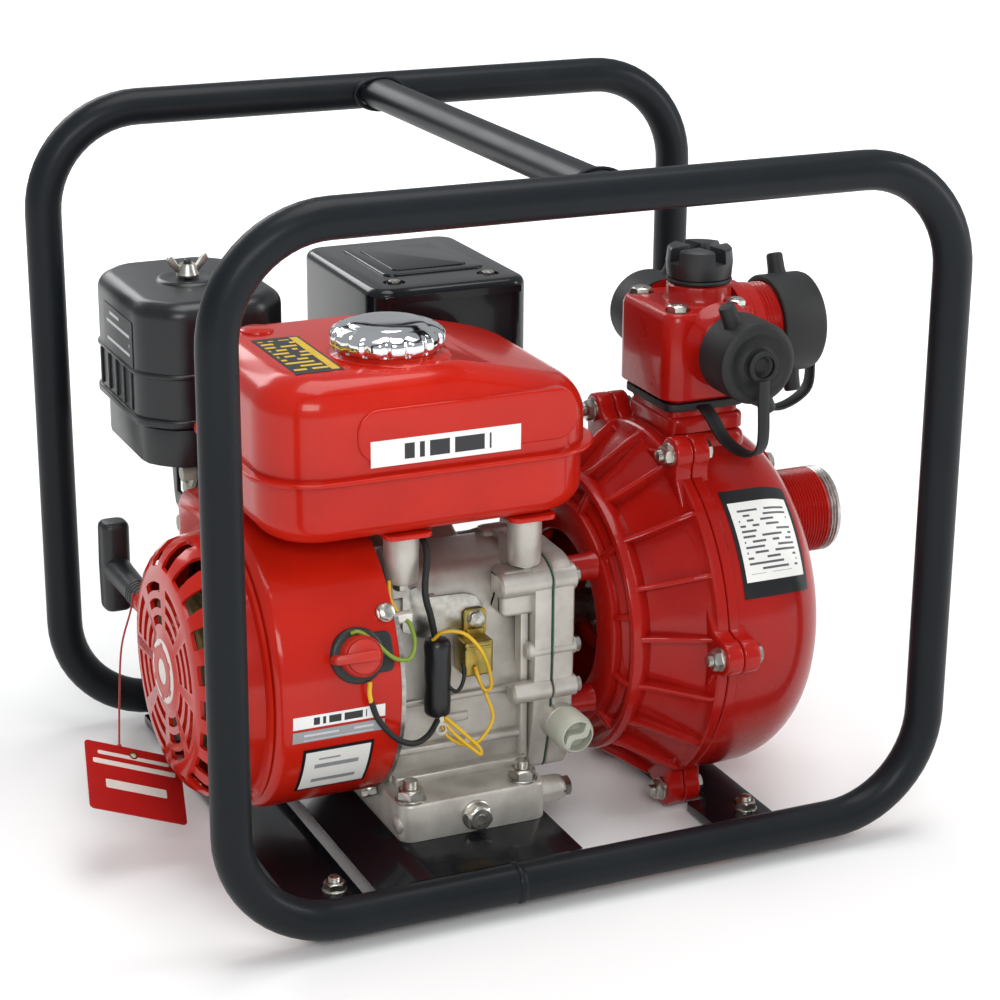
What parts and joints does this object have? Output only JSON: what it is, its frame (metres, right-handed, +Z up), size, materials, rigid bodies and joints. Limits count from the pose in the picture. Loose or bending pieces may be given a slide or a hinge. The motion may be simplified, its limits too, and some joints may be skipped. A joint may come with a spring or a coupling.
{
  "type": "portable fire pump",
  "caption": "Portable petrol-engine centrifugal fire pump with recoil starter, fuel tank and capped outlet manifold, carried in a bent-tube steel frame.",
  "frame": {"origin": "floor level under the middle of the carrying frame, on the rubber feet", "axes": "+Z up, +X from the recoil starter towards the suction port, +Y from the tank side to the muffler side"},
  "size_m": [0.5551, 0.4104, 0.4766],
  "materials": {
    "frame_enamel": "gloss",
    "black_enamel": "gloss",
    "red_enamel": "gloss",
    "pump_enamel": "gloss",
    "cast_aluminium": "as cast",
    "steel": "satin",
    "chrome": "polished",
    "black_plastic": "satin",
    "rubber": "matte",
    "gold_zinc": "satin",
    "gasket_paper": "matte",
    "grey_plastic": "satin",
    "wire_yellow": "satin",
    "red_plastic": "satin",
    "filter_foam": "matte",
    "tag_card": "satin",
    "red_string": "matte",
    "rope": "matte",
    "oiled_steel": "oiled",
    "cast_iron": "as cast"
  },
  "bodies": {
    "root": {"frame_loop_front": "frame_enamel", "frame_loop_rear": "frame_enamel", "carry_bar": "frame_enamel", "cross_rail_left": "black_enamel", "cross_rail_right": "black_enamel", "engine_base_plate": "black_enamel", "rocker_cover": "black_enamel", "muffler_guard": "black_enamel", "rubber_foot_left_front": "rubber", "rubber_foot_left_rear": "rubber", "rubber_foot_right_front": "rubber", "rubber_foot_right_rear": "rubber", "spark_plug": "rubber", "cap_straps": "rubber", "crankcase": "cast_aluminium", "side_cover": "cast_aluminium", "cylinder_head": "cast_aluminium", "carburettor": "cast_aluminium", "main_bearing_left": "steel", "main_bearing_right": "steel", "muffler": "steel", "mechanical_seal": "steel", "side_cover_gasket": "gasket_paper", "fan_shroud": "red_enamel", "recoil_cover": "red_enamel", "fuel_tank": "red_enamel", "pump_rear_housing": "pump_enamel", "pump_cover": "pump_enamel", "suction_port": "pump_enamel", "discharge_manifold": "pump_enamel", "engine_switch_plate": "black_plastic", "air_cleaner_base": "black_plastic", "air_cleaner_cover": "black_plastic", "control_plate": "black_plastic", "ignition_sleeve": "black_plastic", "wire_black": "black_plastic", "oil_level_unit": "gold_zinc", "wire_yellow": "wire_yellow", "air_filter": "filter_foam", "hang_tag": "tag_card", "tag_string": "red_string"},
    "rotor": {"crankshaft": "steel", "flywheel": "cast_iron", "starter_cup": "steel", "impeller": "cast_iron"},
    "piston": {"piston": "cast_aluminium"},
    "starter_handle": {"starter_handle": "black_plastic", "starter_rope": "rope"},
    "recoil_reel": {"recoil_reel": "oiled_steel"},
    "engine_switch": {"engine_switch_knob": "red_plastic"},
    "choke_lever": {"choke_lever": "black_plastic"},
    "fuel_lever": {"fuel_lever": "black_plastic"},
    "fuel_cap": {"fuel_cap": "chrome"},
    "priming_cap": {"priming_cap": "black_plastic"},
    "dipstick": {"dipstick": "grey_plastic"},
    "oil_drain_bolt": {"oil_drain_bolt": "steel"},
    "outlet_cap_front": {"outlet_cap_front": "black_plastic"},
    "outlet_cap_rear": {"outlet_cap_rear": "black_plastic"},
    "outlet_cap_side": {"outlet_cap_side": "black_plastic"},
    "wing_nut": {"air_cleaner_wing_nut": "steel"}
  },
  "joints": [
    {"name": "crank_spin", "type": "hinge", "parent": "root", "child": "rotor", "pos_m": [0, -0.038, 0.137], "axis": [1, 0, 0], "continuous": true},
    {"name": "piston_slide", "type": "slide", "parent": "root", "child": "piston", "axis": [0, -0.9063, -0.4226], "range_m": [0, 0.055]},
    {"name": "handle_pull", "type": "slide", "parent": "root", "child": "starter_handle", "axis": [0, 0.9998, 0.0175], "range_m": [0, 0.5]},
    {"name": "reel_spin", "type": "hinge", "parent": "root", "child": "recoil_reel", "pos_m": [-0.2225, -0.038, 0.137], "axis": [1, 0, 0], "range_deg": [-600, 0]},
    {"name": "switch_turn", "type": "hinge", "parent": "root", "child": "engine_switch", "pos_m": [-0.141, -0.1312, 0.1673], "axis": [0, -0.9511, 0.309], "range_deg": [0, 90]},
    {"name": "choke_turn", "type": "hinge", "parent": "root", "child": "choke_lever", "pos_m": [-0.178, 0.104, 0.211], "axis": [1, 0, 0], "range_deg": [-35, 0]},
    {"name": "fuel_turn", "type": "hinge", "parent": "root", "child": "fuel_lever", "pos_m": [-0.178, 0.114, 0.193], "axis": [1, 0, 0], "range_deg": [0, 50]},
    {"name": "fuel_cap_turn", "type": "hinge", "parent": "root", "child": "fuel_cap", "pos_m": [-0.093, -0.067, 0.348], "axis": [0, 0, 1], "range_deg": [0, 90]},
    {"name": "priming_cap_turn", "type": "hinge", "parent": "root", "child": "priming_cap", "pos_m": [0.143, -0.045, 0.363], "axis": [0, 0, 1], "range_deg": [0, 180]},
    {"name": "dipstick_turn", "type": "hinge", "parent": "root", "child": "dipstick", "pos_m": [0.012, -0.116, 0.087], "axis": [0, -1, 0], "range_deg": [0, 180]},
    {"name": "drain_bolt_turn", "type": "hinge", "parent": "root", "child": "oil_drain_bolt", "pos_m": [-0.06, -0.136, 0.043], "axis": [0, -1, 0], "range_deg": [0, 180]},
    {"name": "outlet_cap_front_turn", "type": "hinge", "parent": "root", "child": "outlet_cap_front", "pos_m": [0.143, -0.098, 0.326], "axis": [0, -1, 0], "range_deg": [0, 180]},
    {"name": "outlet_cap_rear_turn", "type": "hinge", "parent": "root", "child": "outlet_cap_rear", "pos_m": [0.143, 0.012, 0.326], "axis": [0, 1, 0], "range_deg": [0, 180]},
    {"name": "outlet_cap_side_turn", "type": "hinge", "parent": "root", "child": "outlet_cap_side", "pos_m": [0.2, -0.041, 0.326], "axis": [1, 0, 0], "range_deg": [0, 180]},
    {"name": "wing_nut_turn", "type": "hinge", "parent": "root", "child": "wing_nut", "pos_m": [-0.1625, 0.1315, 0.355], "axis": [0, 0, 1], "range_deg": [0, 180]}
  ],
  "couplings": [
    {"joint": "reel_spin", "follows": "handle_pull", "rad_per_m": -20.833}
  ]
}
